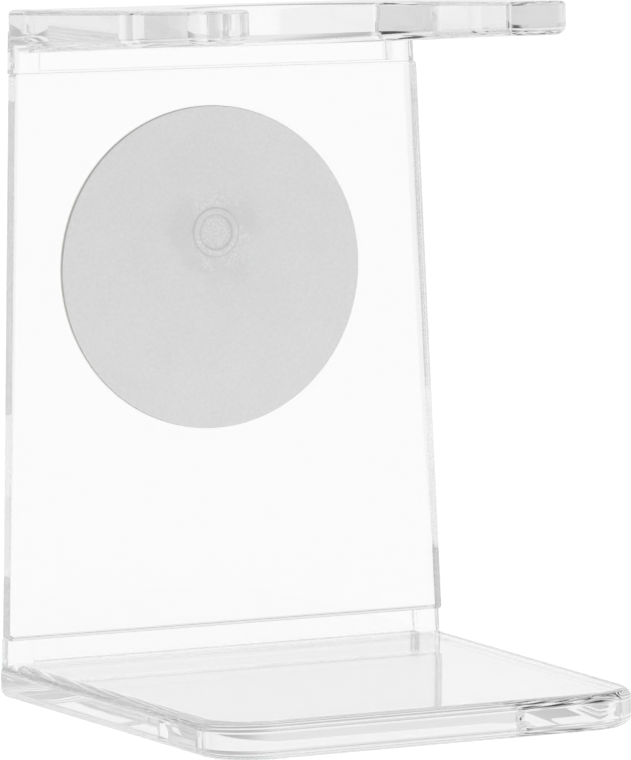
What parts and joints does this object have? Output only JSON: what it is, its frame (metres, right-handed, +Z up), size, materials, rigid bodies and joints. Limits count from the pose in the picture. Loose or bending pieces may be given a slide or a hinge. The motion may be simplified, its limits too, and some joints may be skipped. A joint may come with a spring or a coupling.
{
  "type": "shaving brush stand",
  "caption": "Clear plastic C-shaped stand: a flat base, an upright back panel with a round adhesive pad behind it, and a forked top plate that a shaving brush hangs in.",
  "frame": {"origin": "the middle of the stand's outline on the surface that it stands on", "axes": "+Z up, -Y to the front where the brush goes in, +X to the right seen from the front"},
  "size_m": [0.0596, 0.0636, 0.0846],
  "materials": {
    "clear_plastic": "clear and polished, with moulded faces",
    "pad_foam": "pale grey, matt, finely speckled",
    "liner_paper": "off-white, satin release paper"
  },
  "bodies": {
    "root": {"base_plate": "clear_plastic", "back_panel": "clear_plastic", "brush_fork": "clear_plastic", "adhesive_pad": "pad_foam", "pad_liner": "liner_paper"}
  },
  "joints": []
}
